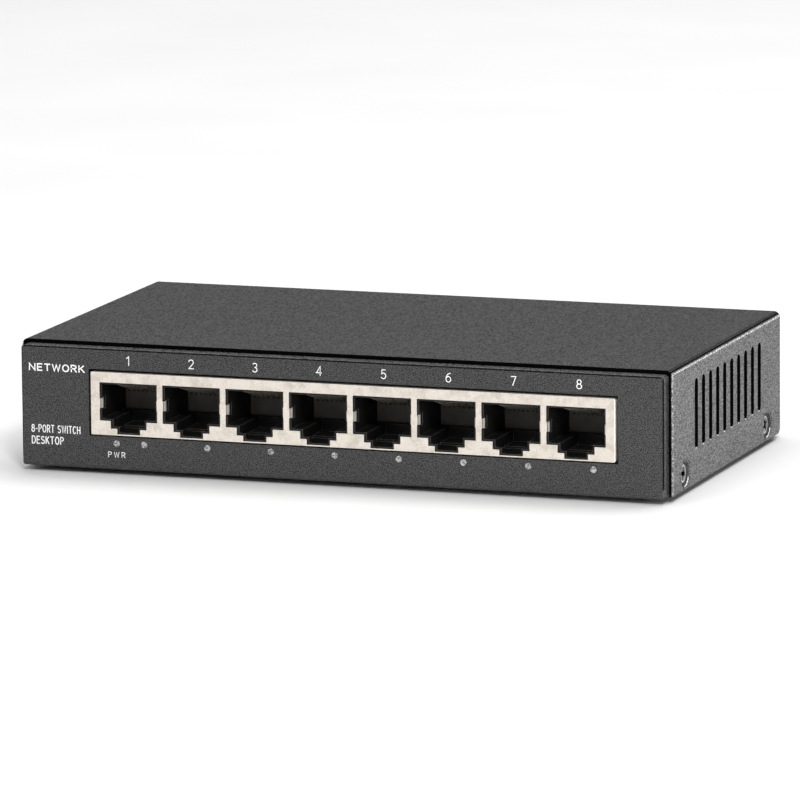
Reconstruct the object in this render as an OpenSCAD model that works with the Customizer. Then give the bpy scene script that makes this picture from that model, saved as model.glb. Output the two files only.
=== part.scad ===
// Eight-port desktop network switch in a folded steel case.
// Units are millimetres. +X is to the right seen from the front, +Y is to the rear, +Z is up.
// The origin is the middle of the footprint, on the plane that the feet stand on.

/* [Case] */
// Width over the sides of the cover
case_w = 142.2; // [141:0.1:150]
// Depth over the front and rear panels
case_d = 83; // [82:0.5:100]
// Height of the case without its feet
case_h = 26.3; // [26:0.1:34]
// Thickness of the steel sheet
sheet_t = 0.7; // [0.6:0.05:0.8]
// How far the panels stand proud of the cover's front and rear edges
cover_setback = 3.1; // [1:0.1:4]
// Outer radius of the cover's two long bends
cover_bend_r = 1.3; // [1:0.1:2]
// Gap between the cover and the panel flanges that it slides over
cover_gap = 0.15; // [0.1:0.05:0.25]
// Rounding of the front and rear panels' edges
panel_edge_r = 0.45; // [0.3:0.05:0.6]
// Rounding of the panels' corners, seen from the front
panel_corner_r = 0.9; // [0.7:0.1:1.5]
// Depth of the flanges folded back from the panels
panel_flange = 5.5; // [5:0.25:8]

/* [Vents] */
// Number of slots in each side
vent_count = 10; // [2:1:10]
// Distance from one slot to the next
vent_pitch = 5; // [4:0.1:5.2]
// Width of a slot
vent_w = 2.3; // [1.5:0.1:2.6]
// Height of a slot over its round ends
vent_h = 14.7; // [8:0.1:15]
// Height of the middle of the slots
vent_z = 14.7; // [14:0.1:15]
// How far the row of slots lies to the rear of the middle
vent_offset = 0.6; // [-1:0.1:1]

/* [Feet and screws] */
// Diameter of a rubber foot
foot_d = 10; // [8:0.5:12]
// Height of a rubber foot
foot_h = 1.2; // [1:0.1:3]
// Distance of the cover screws from the middle of the side
cover_screw_y = 29.3; // [28:0.1:31]
// Height of the cover screws
cover_screw_z = 3.4; // [3.3:0.1:3.8]
// Diameter of a countersunk dimple at the cover's surface
dimple_d = 5.8; // [5.4:0.1:5.9]
// How far a cover screw's head lies below the surface
head_recess = 0.6; // [0.3:0.05:0.7]

/* [Ports] */
// Distance from one port to the next
port_pitch = 13.97; // [13.9:0.01:14.1]
// Offset of the row of ports from the middle of the case
port_offset = 2.62; // [0:0.02:2.8]
// Width of the metal window of one port
window_w = 12.77; // [12.5:0.01:12.9]
// Height of the shield of the ports
shield_h = 13.25; // [13.1:0.05:13.5]
// Thickness of the shield
shield_t = 0.3; // [0.25:0.05:0.3]
// How far the shield stands proud of the front panel
shield_proud = 0.3; // [0.1:0.1:0.5]
// Slope of the resting contact wires
wire_slope = 17; // [16.5:0.1:17]

/* [Indicators] */
// Diameter of an indicator window
pipe_d = 1.36; // [1.2:0.02:1.4]
// Height of the indicator windows
pipe_z = 5.55; // [5.5:0.05:5.6]
// Distance from one port indicator to the next
pipe_pitch = 14.02; // [13.9:0.01:14.05]
// Position of the first port's indicator
pipe_first_x = -43; // [-44:0.1:-42]
// Distance from the power indicator to the first port's indicator
power_pipe_gap = 6.1; // [5:0.1:6.5]

/* [Power socket] */
// Position of the socket across the rear panel
socket_x = 48; // [44:1:50]
// Diameter of the socket's bore
socket_d = 6.3; // [6.2:0.1:6.5]
// Diameter of the socket's centre pin
socket_pin_d = 2; // [1.8:0.1:2.2]

/* [Hidden] */
$fn = 48;

e = 0.01;                 // overlap that makes a cut clean
slip = 0.02;              // radial clearance of parts that are fitted together

// Case
panel_w = case_w - 2 * (sheet_t + cover_gap);
panel_h = case_h - sheet_t - cover_gap;
front_y = -case_d / 2;
cover_len = case_d - 2 * cover_setback;
cover_rise = 0.15;        // gap under the cover's side edges
cover_corner_r = 1.5;     // rounding of the cover's lower rear corners
dimple_depth = 1.2;
dish_depth = 0.18;        // shallow dish round each dimple
dish_d = dimple_d + 1;
foot_inset = 13;          // from the sides and ends of the case to the middle of a foot
ear_x = case_w / 2 - sheet_t - dimple_depth;   // outer face of the chassis ears
ear_h = 7.2;
ear_len = case_d - 2 * panel_flange - 1;
mitre_gap = 0.25;

// Board
board_top = 7.3;          // height above the underside of the case
board_t = 1.2;
board_w = 133;
board_d = case_d - 6.4;
board_screw_x = 63;
board_screw_y = [-20, 20];

// Row of ports. Its own frame starts at the shield's front face, on top of the board.
port_count = 8;
shield_border = 2.07;     // shield left and right of the outer windows
shield_w = 7 * port_pitch + window_w + 2 * shield_border;
shield_d = 16.7;
shield_y = front_y - shield_proud;
opening_w = shield_w + 0.9;
opening_z = [board_top - 0.35, board_top + shield_h + 0.5];
shield_leg_y = [8, 14];
window_top = 11.1;
window_steps = [[window_w / 2, 3.0], [3.985, 1.4], [2.56, 0.25]];   // half width and floor of each step
housing_inset = 0.38;     // how far the plastic opening lies inside the metal window
housing_front = 0.35;
housing_back = 16.3;
housing_top = 12.85;
ceiling_z = 10.7;
cavity_half_w = window_w / 2 - housing_inset;
cavity_back = 14;
carrier_front = 1.75;
carrier_top = 12.5;
carrier_roof = 12.05;     // roof of the slots that the wires lie in
insert_half_w = cavity_half_w - 0.04;
insert_back = housing_back - 0.1;
comb_z = 7.5;
latch_step_y = 6.4;
latch_step_z = 1.05;
latch_front = 1.9;
latch_back = 12;
finger_z = 5.6;
finger_h = 2.05;

// Contact wires
wire_d = 0.4;
wire_pitch = 1.016;
wires = 8;
bend_r = 0.6;
bend_y = 2.9;
bend_z = 11.05;
wire_tip_y = 11.9;
tail_y = 15.5;
tail_below = 1.8;         // length of a tail below the board
slot_w = 0.62;

// Indicators
pipe_hole_d = pipe_d + 0.14;
holder_back = 2.4;        // distance from the panel's outer face
pipe_back = 3.05;
led_size = [2, 1.5, 1.1];

// Power socket. Its frame starts at its outer face, on top of the board.
socket_size = [9, 14.2, 11];
socket_face_y = case_d / 2 + shield_proud;
socket_axis_z = 6.5;
socket_depth = 9.5;
leaf_w = 2;
leaf_t = 0.25;
leaf_root = [11.8, -4.1]; // distance in from the face, and height from the socket's axis
leaf_eye_r = 0.35;

function port_x(k) = port_offset + (k - (port_count - 1) / 2) * port_pitch;
function pipe_x(k) = pipe_first_x + k * pipe_pitch;
function centred(n) = [for (i = [0 : n - 1]) i - (n - 1) / 2];

// ---------------------------------------------------------------- helpers

// Places parts that are measured from the underside of the case.
module case_frame() {
    translate([0, 0, foot_h]) children();
}

// Places parts that stand on the board.
module on_board(x = 0, y = 0) {
    translate([x, y, foot_h + board_top]) children();
}

// Places parts in the frame of port k.
module at_port(k) {
    on_board(port_x(k), shield_y) children();
}

// A box given by its two corners.
module span(low, high) {
    translate(low) cube([high[0] - low[0], high[1] - low[1], high[2] - low[2]]);
}

module rounded_rect(w, h, r) {
    square([w - 2 * r, h], center = true);
    square([w, h - 2 * r], center = true);
    for (sx = [-1, 1], sy = [-1, 1])
        translate([sx * (w / 2 - r), sy * (h / 2 - r)]) circle(r);
}

// A prism along Y whose outline is drawn in X and Z.
module along_y(len) {
    rotate([90, 0, 0]) linear_extrude(len, center = true) children();
}

// A prism along X whose outline is drawn in Y and Z.
module along_x(len) {
    rotate([90, 0, 90]) linear_extrude(len, center = true) children();
}

// A round bar along Y, from y1 to y2.
module bar_y(d, y1, y2) {
    translate([0, y1, 0]) rotate([-90, 0, 0]) cylinder(d = d, h = y2 - y1);
}

// A round bar or cone along X, from x1 to x2.
module bar_x(d1, d2, x1, x2) {
    translate([x1, 0, 0]) rotate([0, 90, 0]) cylinder(d1 = d1, d2 = d2, h = x2 - x1);
}

// The cross recess of a screw, cut downwards from z = 0.
module cross_recess(size, depth) {
    for (a = [0, 90]) rotate([0, 0, a])
        translate([-size / 2, -size * 0.14, -depth]) cube([size, size * 0.28, depth + e]);
    translate([0, 0, -depth * 1.2]) cylinder(d = size * 0.5, h = depth * 1.2 + e);
}

// ---------------------------------------------------------------- case

// The outside of both panels joined up, with every edge rounded.
module panel_envelope() {
    translate([0, 0, panel_h / 2]) intersection() {
        along_y(case_d + 2) rounded_rect(panel_w, panel_h, panel_corner_r);
        along_x(case_w) rounded_rect(case_d, panel_h, panel_edge_r);
        linear_extrude(panel_h + 2, center = true) rounded_rect(panel_w, case_d, panel_edge_r);
    }
}

// A panel with its flanges, cut out of the envelope. side is -1 for the front and 1 for the rear.
module panel(side) {
    depth = case_d / 2;
    difference() {
        intersection() {
            panel_envelope();
            translate([-case_w / 2, side > 0 ? depth - panel_flange : -depth, 0])
                cube([case_w, panel_flange, case_h]);
        }
        span([-panel_w / 2 + sheet_t, -depth + sheet_t, sheet_t],
             [panel_w / 2 - sheet_t, depth - sheet_t, panel_h - sheet_t]);
        // The flanges meet in an open mitre at each top corner.
        for (sx = [-1, 1])
            translate([sx * panel_w / 2, side * (depth - 1.2 - panel_flange / 2), panel_h])
                rotate([0, sx * 45, 0])
                    cube([3, panel_flange, mitre_gap], center = true);
    }
}

module ear(side) {
    inner = ear_x - sheet_t;
    difference() {
        union() {
            span([side > 0 ? inner : -ear_x, -ear_len / 2, 0],
                 [side > 0 ? ear_x : -inner, ear_len / 2, ear_h]);
            for (sy = [-1, 1]) translate([0, sy * cover_screw_y, cover_screw_z])
                bar_x(4.6, 4.6, side > 0 ? inner - 1 : -inner, side > 0 ? inner : -inner + 1);
        }
        for (sy = [-1, 1]) translate([side * ear_x, sy * cover_screw_y, cover_screw_z])
            bar_x(3 + 2 * slip, 3 + 2 * slip, -4, 4);
    }
}

module chassis() {
    plate_half = case_d / 2 - panel_flange + 1;
    color([0.16, 0.16, 0.17]) case_frame() difference() {
        union() {
            for (side = [-1, 1]) {
                panel(side);
                ear(side);
            }
            span([-ear_x, -plate_half, 0], [ear_x, plate_half, sheet_t]);
        }
        // Window for the ports
        span([port_offset - opening_w / 2, front_y - 1, opening_z[0]],
             [port_offset + opening_w / 2, front_y + sheet_t + 1, opening_z[1]]);
        // Holes for the indicators
        for (k = [-1 : port_count - 1])
            translate([k < 0 ? pipe_first_x - power_pipe_gap : pipe_x(k), front_y, pipe_z])
                bar_y(pipe_hole_d, -1, 2);
        // Window for the power socket
        span([socket_x - socket_size[0] / 2 - 0.3, case_d / 2 - 2, board_top - 0.4],
             [socket_x + socket_size[0] / 2 + 0.3, case_d / 2 + 1, board_top + socket_size[2] + 0.4]);
        // Holes for the stems of the standoffs
        for (sx = [-1, 1], y = board_screw_y)
            translate([sx * board_screw_x, y, -1]) cylinder(d = 4.2 + 2 * slip, h = 3);
    }
}

module vent_slot() {
    straight = vent_h - vent_w;
    rotate([0, 90, 0]) {
        cube([straight, vent_w, case_w + 2], center = true);
        for (s = [-1, 1]) translate([s * straight / 2, 0, 0])
            cylinder(d = vent_w, h = case_w + 2, center = true);
    }
}

module cover() {
    outer_x = case_w / 2;
    inner_x = outer_x - sheet_t;
    cone_end = dimple_d - 2 * dimple_depth;
    color([0.17, 0.17, 0.18]) case_frame() difference() {
        union() {
            difference() {
                along_y(cover_len) rounded_rect(case_w, 2 * case_h, cover_bend_r);
                along_y(cover_len + 2)
                    rounded_rect(case_w - 2 * sheet_t, 2 * (case_h - sheet_t), cover_bend_r - sheet_t);
                translate([0, 0, cover_rise - case_h])
                    cube([case_w + 2, cover_len + 2, 2 * case_h], center = true);
            }
            for (side = [-1, 1], sy = [-1, 1])
                translate([side * inner_x, sy * cover_screw_y, cover_screw_z])
                    rotate([0, side * 90, 0])
                        translate([0, 0, -dimple_depth]) cylinder(d1 = 4.4, d2 = 6.4, h = dimple_depth + e);
        }
        for (i = centred(vent_count)) translate([0, vent_offset + i * vent_pitch, vent_z]) vent_slot();
        for (side = [-1, 1], sy = [-1, 1])
            translate([side * outer_x, sy * cover_screw_y, cover_screw_z]) rotate([0, side * 90, 0]) {
                translate([0, 0, -dimple_depth]) cylinder(d1 = cone_end, d2 = dimple_d, h = dimple_depth);
                translate([0, 0, -4]) cylinder(d = cone_end, h = 5);
                translate([0, 0, -dish_depth])
                    cylinder(d1 = dimple_d - 2 * dish_depth, d2 = dish_d, h = dish_depth + e);
            }
        // Rounded lower corners at the rear
        difference() {
            span([-outer_x - 1, cover_len / 2 - cover_corner_r, -1],
                 [outer_x + 1, cover_len / 2 + 1, cover_rise + cover_corner_r]);
            translate([0, cover_len / 2 - cover_corner_r, cover_rise + cover_corner_r])
                bar_x(2 * cover_corner_r, 2 * cover_corner_r, -case_w, case_w);
        }
    }
}

module cover_screws() {
    head_d = dimple_d - 2 * head_recess - 2 * slip;
    shank_d = 3 - 2 * slip;
    cone_h = (head_d - shank_d) / 2;
    color([0.2, 0.2, 0.21]) case_frame()
        for (side = [-1, 1], sy = [-1, 1])
            translate([side * (case_w / 2 - head_recess), sy * cover_screw_y, cover_screw_z])
                rotate([0, side * 90, 0]) difference() {
                    union() {
                        translate([0, 0, -cone_h]) cylinder(d1 = shank_d, d2 = head_d, h = cone_h);
                        translate([0, 0, -5]) cylinder(d = shank_d, h = 5 - cone_h);
                    }
                    rotate([0, 0, 20 * sy + 10 * side]) cross_recess(2.7, 0.75);
                }
}

module rubber_feet() {
    color([0.09, 0.09, 0.09])
        for (sx = [-1, 1], sy = [-1, 1])
            translate([sx * (case_w / 2 - foot_inset), sy * (case_d / 2 - foot_inset), 0])
                rotate_extrude() polygon([
                    [0, 0], [foot_d / 2 - 0.6, 0], [foot_d / 2 - 0.2, 0.2],
                    [foot_d / 2, 0.6], [foot_d / 2, foot_h], [0, foot_h],
                ]);
}

// ---------------------------------------------------------------- board and its fixings

module circuit_board() {
    low = [-board_w / 2, -board_d / 2, -board_t];
    high = [board_w / 2, board_d / 2, 0];
    leg_x = shield_w / 2 - shield_t / 2;
    color([0.1, 0.34, 0.18]) difference() {
        on_board() span(low, high);
        on_board() for (sx = [-1, 1], y = board_screw_y)
            translate([sx * board_screw_x, y, -2]) cylinder(d = 3.3, h = 3);
        for (k = [0 : port_count - 1]) at_port(k)
            for (i = centred(wires)) translate([i * wire_pitch, tail_y, -2]) cylinder(d = 0.6, h = 3);
        on_board(port_offset, shield_y) for (sx = [-1, 1], y = shield_leg_y)
            translate([sx * leg_x, y, 0]) cube([0.7, 2, 4], center = true);
        on_board() for (x = holder_peg_x()) translate([x, holder_peg_y(), -2]) cylinder(d = 1.64, h = 3);
        on_board(socket_x, socket_face_y) for (y = terminal_places())
            translate([0, -y, 0]) cube([3.2, 1.4, 4], center = true);
    }
}

module board_standoffs() {
    height = board_top - board_t - sheet_t;
    color([0.75, 0.76, 0.78]) case_frame()
        for (sx = [-1, 1], y = board_screw_y) translate([sx * board_screw_x, y, 0])
            difference() {
                union() {
                    translate([0, 0, sheet_t]) cylinder(d = 5.8, h = height, $fn = 6);
                    cylinder(d = 4.2, h = sheet_t + e);
                }
                translate([0, 0, 1]) cylinder(d = 3, h = height);
            }
}

module board_screws() {
    color([0.8, 0.8, 0.8]) on_board()
        for (sx = [-1, 1], y = board_screw_y) translate([sx * board_screw_x, y, 0])
            difference() {
                union() {
                    rotate_extrude() polygon([
                        [0, 0], [2.7, 0], [2.7, 0.9], [2.5, 1.3], [2.0, 1.7], [0, 1.7],
                    ]);
                    translate([0, 0, -4.6]) cylinder(d = 3 - 2 * slip, h = 4.7);
                }
                translate([0, 0, 1.7]) rotate([0, 0, 25 * sx + y]) cross_recess(2.6, 1);
            }
}

// ---------------------------------------------------------------- ports

// The stepped opening of a port, from y1 to y2. Each step is a half width and a floor height.
module stepped_opening(steps, top, y1, y2) {
    for (i = [0 : len(steps) - 1]) {
        ceiling = i == 0 ? top : steps[i - 1][1] + e;
        span([-steps[i][0], y1, steps[i][1]], [steps[i][0], y2, ceiling]);
    }
}

// A grounding finger folded in from the left edge of a window.
module ground_finger() {
    edge = -window_w / 2;
    translate([0, 0, finger_z]) linear_extrude(finger_h) polygon([
        [edge - 0.2, shield_t], [edge - 0.1, 0], [edge + 0.08, 0], [edge + 0.45, 0.65],
        [edge + 0.45, 1.05], [edge + 0.1, 2.2], [edge - 0.1, 2.2], [edge + 0.25, 1],
        [edge + 0.25, 0.75], [edge, shield_t],
    ]);
}

module port_shield() {
    half = shield_w / 2;
    lip_depth = 1.2;
    color([0.86, 0.83, 0.8]) {
        on_board(port_offset, shield_y) difference() {
            intersection() {
                translate([0, shield_d / 2, shield_h / 2])
                    along_y(shield_d + 2) rounded_rect(shield_w, shield_h, 0.45);
                translate([0, shield_d / 2, shield_h / 2]) linear_extrude(shield_h + 2, center = true)
                    rounded_rect(shield_w, shield_d, 0.35);
            }
            span([-half + shield_t, shield_t, 0.25], [half - shield_t, shield_d - shield_t, shield_h - shield_t]);
            span([-half + shield_t, lip_depth, -1], [half - shield_t, shield_d - shield_t, 1]);
            for (k = [0 : port_count - 1]) translate([port_x(k) - port_offset, 0, 0])
                stepped_opening(window_steps, window_top, -1, shield_t + 0.1);
        }
        for (k = [0 : port_count - 1], side = [0, 1]) at_port(k) mirror([side, 0, 0]) ground_finger();
        on_board(port_offset, shield_y) for (sx = [-1, 1], y = shield_leg_y)
            translate([sx * (half - shield_t / 2), y, -0.9]) cube([shield_t, 1.5, 3.8], center = true);
    }
}

module port_housing() {
    side = shield_border - shield_t - 0.05;
    color([0.05, 0.05, 0.05]) difference() {
        on_board(port_offset, shield_y)
            span([-3.5 * port_pitch - window_w / 2 - side, housing_front, 0.05],
                 [3.5 * port_pitch + window_w / 2 + side, housing_back, housing_top]);
        on_board(port_offset, shield_y)
            span([-shield_w, housing_front - e, -1], [shield_w, 1.25, 0.27]);
        for (k = [0 : port_count - 1]) at_port(k) {
            span([-cavity_half_w, -1, 3.35], [cavity_half_w, cavity_back, ceiling_z]);
            span([-3.5, -1, 1.75], [3.5, latch_back, 3.4]);
            span([-2.15, -1, 0.55], [2.15, latch_front + e, 1.8]);
            span([-3.5, latch_front, 0.55], [3.5, latch_step_y, 1.8]);
            span([-3.5, latch_step_y - e, latch_step_z], [3.5, latch_back, 1.8]);
            // Bay for the contact carrier
            span([-cavity_half_w, carrier_front - 0.05, ceiling_z - e],
                 [cavity_half_w, housing_back + 1, carrier_top + 0.05]);
            span([-cavity_half_w, cavity_back - 0.05, -1],
                 [cavity_half_w, housing_back + 1, carrier_top + 0.05]);
            // Pockets for the grounding fingers
            span([-cavity_half_w - 0.55, -1, finger_z - 0.3],
                 [cavity_half_w + 0.55, 2.6, finger_z + finger_h + 0.3]);
        }
    }
}

module contact_carrier() {
    nose_r = bend_r - wire_d / 2 - 0.03;
    difference() {
        union() {
            span([-insert_half_w, carrier_front, ceiling_z], [insert_half_w, insert_back, carrier_top]);
            // Comb that keeps the wire tips apart
            for (i = centred(wires + 1)) translate([i * wire_pitch, 0, 0])
                span([-0.18, 11, comb_z], [0.18, cavity_back - slip, ceiling_z + e]);
        }
        for (i = centred(wires)) translate([i * wire_pitch, 0, 0])
            span([-slot_w / 2, carrier_front - 1, ceiling_z - 1], [slot_w / 2, insert_back + 1, carrier_roof]);
    }
    // Round nose that the wires bend over
    translate([0, bend_y, bend_z]) bar_x(2 * nose_r, 2 * nose_r, -insert_half_w, insert_half_w);
}

module contact_carriers() {
    color([0.08, 0.08, 0.08])
        for (k = [0 : port_count - 1]) at_port(k) contact_carrier();
}

// The plate that closes the back of a port. The wire tails run down its grooved rear face.
module port_back_plate() {
    difference() {
        span([-insert_half_w, cavity_back, 0.05], [insert_half_w, insert_back, ceiling_z - slip]);
        for (i = centred(wires)) translate([i * wire_pitch, 0, 0])
            span([-slot_w / 2, tail_y - 0.4, -1], [slot_w / 2, insert_back + 1, ceiling_z]);
    }
}

module port_back_plates() {
    color([0.07, 0.07, 0.07])
        for (k = [0 : port_count - 1]) at_port(k) port_back_plate();
}

// The fixed part of a wire: up from the board, then forwards over the port.
module wire_tail() {
    run_z = bend_z + bend_r;
    translate([0, tail_y, -board_t - tail_below])
        cylinder(d = wire_d, h = run_z + wire_d / 2 + board_t + tail_below);
    translate([0, 0, run_z]) bar_y(wire_d, bend_y, tail_y + wire_d / 2);
}

module contact_tails() {
    color([0.85, 0.7, 0.35])
        for (k = [0 : port_count - 1]) at_port(k)
            for (i = centred(wires)) translate([i * wire_pitch, 0, 0]) wire_tail();
}

// The springy part of a wire: a hairpin bend, then a straight run down into the port.
module spring_wire() {
    turn = 180 - wire_slope;
    run = (wire_tip_y - bend_y + bend_r * sin(wire_slope)) / cos(wire_slope);
    translate([0, bend_y, bend_z]) rotate([0, 90, 0]) {
        rotate([0, 0, 180]) rotate_extrude(angle = turn)
            translate([bend_r, 0]) circle(d = wire_d);
    }
    translate([0, bend_y, bend_z]) rotate([-wire_slope, 0, 0])
        translate([0, 0, -bend_r]) bar_y(wire_d, 0, run);
}

module port_contacts(k) {
    color([0.88, 0.72, 0.35]) at_port(k)
        for (i = centred(wires)) translate([i * wire_pitch, 0, 0]) spring_wire();
}

module port_1_contacts() { port_contacts(0); }
module port_2_contacts() { port_contacts(1); }
module port_3_contacts() { port_contacts(2); }
module port_4_contacts() { port_contacts(3); }
module port_5_contacts() { port_contacts(4); }
module port_6_contacts() { port_contacts(5); }
module port_7_contacts() { port_contacts(6); }
module port_8_contacts() { port_contacts(7); }

// ---------------------------------------------------------------- indicators

function indicator_x() = [pipe_first_x - power_pipe_gap, for (k = [0 : port_count - 1]) pipe_x(k)];
function holder_peg_x() = [indicator_x()[0] - 2.6, pipe_x(port_count - 1) + 2.6];
function holder_peg_y() = -board_d / 2 + 2;

module light_pipes() {
    color([0.75, 0.76, 0.76]) case_frame()
        for (x = indicator_x()) translate([x, front_y, pipe_z]) {
            bar_y(pipe_d, 0, pipe_back);
            bar_y(2, holder_back + slip, pipe_back);
        }
}

module light_pipe_holder() {
    peg_x = holder_peg_x();
    top = board_top - board_t;
    color([0.07, 0.07, 0.07]) case_frame() difference() {
        union() {
            span([peg_x[0] - 1.5, front_y + sheet_t + 0.1, pipe_z - 1],
                 [peg_x[1] + 1.5, front_y + holder_back, pipe_z + 1.1]);
            for (x = peg_x) {
                span([x - 1.5, front_y + holder_back - 0.1, pipe_z - 1],
                     [x + 1.5, holder_peg_y() + 1.5, top - 0.02]);
                translate([x, holder_peg_y(), top - 0.1]) cylinder(d = 1.6, h = board_t + 0.05);
            }
        }
        for (x = indicator_x()) translate([x, front_y, pipe_z]) bar_y(pipe_d + 2 * slip, 0, holder_back + 1);
    }
}

module side_led(x) {
    size = led_size;
    translate([x, front_y + pipe_back + 0.05, board_top - board_t - size[2]]) difference() {
        translate([-size[0] / 2, 0, 0]) cube(size);
        translate([0, -e, size[2] / 2]) bar_y(0.8, 0, 0.3);
    }
}

module link_leds() {
    color([0.92, 0.92, 0.86]) case_frame()
        for (k = [0 : port_count - 1]) side_led(pipe_x(k));
}

module power_led() {
    color([0.92, 0.92, 0.86]) case_frame() side_led(indicator_x()[0]);
}

// ---------------------------------------------------------------- electronics

transformer_size = [11.4, 7, 4.6];
transformer_y = front_y + shield_d + 8.5;

// Leads along the front and rear edges of a package, standing on the board.
module lead_row(count, pitch, edge_y, height, reach) {
    for (i = centred(count), sy = [-1, 1]) translate([i * pitch, 0, 0]) mirror([0, sy < 0 ? 1 : 0, 0]) {
        span([-pitch * 0.18, edge_y, 0], [pitch * 0.18, edge_y + reach, 0.15]);
        span([-pitch * 0.18, edge_y, 0], [pitch * 0.18, edge_y + 0.15, height]);
    }
}

module lan_transformers() {
    color([0.07, 0.07, 0.07]) for (k = [0 : port_count - 1]) on_board(port_x(k), transformer_y)
        translate([-transformer_size[0] / 2, -transformer_size[1] / 2, 0.2]) difference() {
            cube(transformer_size);
            translate([1.3, 1.3, transformer_size[2] - 0.2]) cylinder(d = 1, h = 1);
        }
}

module transformer_leads() {
    color([0.8, 0.8, 0.8]) for (k = [0 : port_count - 1]) on_board(port_x(k), transformer_y)
        lead_row(8, 1.27, transformer_size[1] / 2, 2, 1.2);
}

chip_size = [20, 14, 2.3];
chip_place = [4, 3];

module switch_chip() {
    color([0.06, 0.06, 0.06]) on_board(chip_place[0], chip_place[1])
        translate([-chip_size[0] / 2, -chip_size[1] / 2, 0.25]) difference() {
            cube(chip_size);
            translate([1.6, 1.6, chip_size[2] - 0.15]) cylinder(d = 1.4, h = 1);
        }
}

module switch_chip_leads() {
    color([0.8, 0.8, 0.8]) on_board(chip_place[0], chip_place[1]) {
        lead_row(38, 0.5, chip_size[1] / 2, 1.2, 1.5);
        rotate([0, 0, 90]) lead_row(26, 0.5, chip_size[0] / 2, 1.2, 1.5);
    }
}

// A small package with four leads on each long side.
module small_package(size) {
    translate([-size[0] / 2, -size[1] / 2, 0.15]) cube(size);
    lead_row(4, 1.27, size[1] / 2 - e, 0.8, 1);
}

module settings_memory_chip() {
    color([0.07, 0.07, 0.07]) on_board(-17, 12) small_package([4.9, 3.9, 1.5]);
}

module crystal() {
    color([0.8, 0.8, 0.78]) on_board(-17, 3) {
        linear_extrude(0.5) rounded_rect(11.2, 4.7, 2.3);
        translate([0, 0, 0.5 - e]) linear_extrude(3.1) rounded_rect(10.2, 3.8, 1.85);
    }
}

module capacitor(x, y, d, h) {
    r = d / 2;
    on_board(x, y) rotate_extrude() polygon([
        [0, 0], [r - 0.3, 0], [r, 0.3], [r, 1.4], [r - 0.3, 1.8], [r - 0.3, 2.1],
        [r, 2.5], [r, h - 0.4], [r - 0.4, h], [0, h],
    ]);
}

module electrolytic_capacitors() {
    color([0.12, 0.13, 0.2]) {
        capacitor(36, 31, 8, 11.5);
        capacitor(26, 31, 8, 11.5);
        capacitor(34, 18, 6.3, 11);
        capacitor(-34, 20, 6.3, 11);
    }
}

module power_inductor() {
    color([0.2, 0.2, 0.2]) on_board(45, 16) {
        linear_extrude(0.8) rounded_rect(7.6, 7.6, 1.6);
        cylinder(d = 6.6, h = 4);
        translate([0, 0, 3.2]) cylinder(d = 7.4, h = 1.2);
    }
}

module regulator_chip() {
    color([0.07, 0.07, 0.07]) on_board(55, 12) small_package([4.9, 3.9, 1.5]);
}

module input_diode() {
    color([0.07, 0.07, 0.07]) on_board(54, 22) {
        translate([-2.2, -1.4, 0.1]) cube([4.4, 2.8, 2.1]);
        translate([-2.6, -0.75, 0]) cube([5.2, 1.5, 0.9]);
    }
}

module input_fuse() {
    color([0.2, 0.36, 0.2]) on_board(38, 25) {
        translate([-2.2, -1.6, 0]) cube([4.4, 3.2, 1.1]);
    }
}

// Small chips on the board: a regular field of blocks.
module chip_field(xs, ys, size) {
    for (x = xs, y = ys) on_board(x, y)
        translate([-size[0] / 2, -size[1] / 2, 0]) cube(size);
}

module chip_resistors() {
    color([0.12, 0.12, 0.13]) for (k = [0 : port_count - 1])
        chip_field([for (i = centred(4)) port_x(k) + i * 2.4], [transformer_y + 7.2], [0.8, 1.6, 0.45]);
}

module chip_capacitors() {
    color([0.62, 0.5, 0.36]) {
        chip_field([for (i = centred(8)) chip_place[0] + i * 3], [chip_place[1] + 11.5], [1.6, 0.8, 0.8]);
        chip_field([-48, -44, -40], [2, 6, 10, 14], [1.6, 0.8, 0.8]);
        chip_field([56, 60], [5, 17], [2, 1.25, 1.1]);
    }
}

// ---------------------------------------------------------------- power socket

// Distances in from the socket's face of its three terminals.
function terminal_places() = [socket_size[1] + 0.4, leaf_root[0] + 0.25, 7.45];

// Places parts in the frame of the power socket: x, depth in from its face, height above the board.
module at_socket() {
    on_board(socket_x, socket_face_y) rotate([0, 0, 180]) children();
}

module power_socket_housing() {
    w = socket_size[0];
    len = socket_size[1];
    color([0.06, 0.06, 0.06]) at_socket() difference() {
        span([-w / 2, 0, 0.02], [w / 2, len, socket_size[2]]);
        translate([0, 0, socket_axis_z]) {
            bar_y(socket_d, -1, socket_depth);
            bar_y(socket_pin_d + 2 * slip, 0, len + 1);
            translate([0, -e, 0]) rotate([-90, 0, 0])
                cylinder(d1 = socket_d + 1, d2 = socket_d, h = 0.5);
            span([-leaf_w / 2 - 0.25, 1.6, -5.3], [leaf_w / 2 + 0.25, 12.8, -1.5]);
        }
        span([-leaf_w / 2 - 0.25, 11.2, -1], [leaf_w / 2 + 0.25, 12.8, 2]);
        span([-leaf_w / 2 - 0.25, 6.9, -1], [leaf_w / 2 + 0.25, 8.1, 1.3]);
        translate([-w / 2 - 1, len - 4, 9]) cube([w + 2, 5, 3]);
    }
}

module power_socket_pin() {
    axis_z = socket_axis_z;
    color([0.85, 0.85, 0.85]) at_socket() {
        translate([0, 0, axis_z]) {
            bar_y(socket_pin_d, 1.5, socket_size[1] + 0.4);
            translate([0, 1.5 + e, 0]) rotate([90, 0, 0])
                cylinder(d1 = socket_pin_d, d2 = socket_pin_d - 0.8, h = 0.5);
        }
        span([-1.2, socket_size[1] + 0.2, -board_t - 1.5], [1.2, socket_size[1] + 0.6, axis_z + 1.2]);
    }
}

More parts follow.
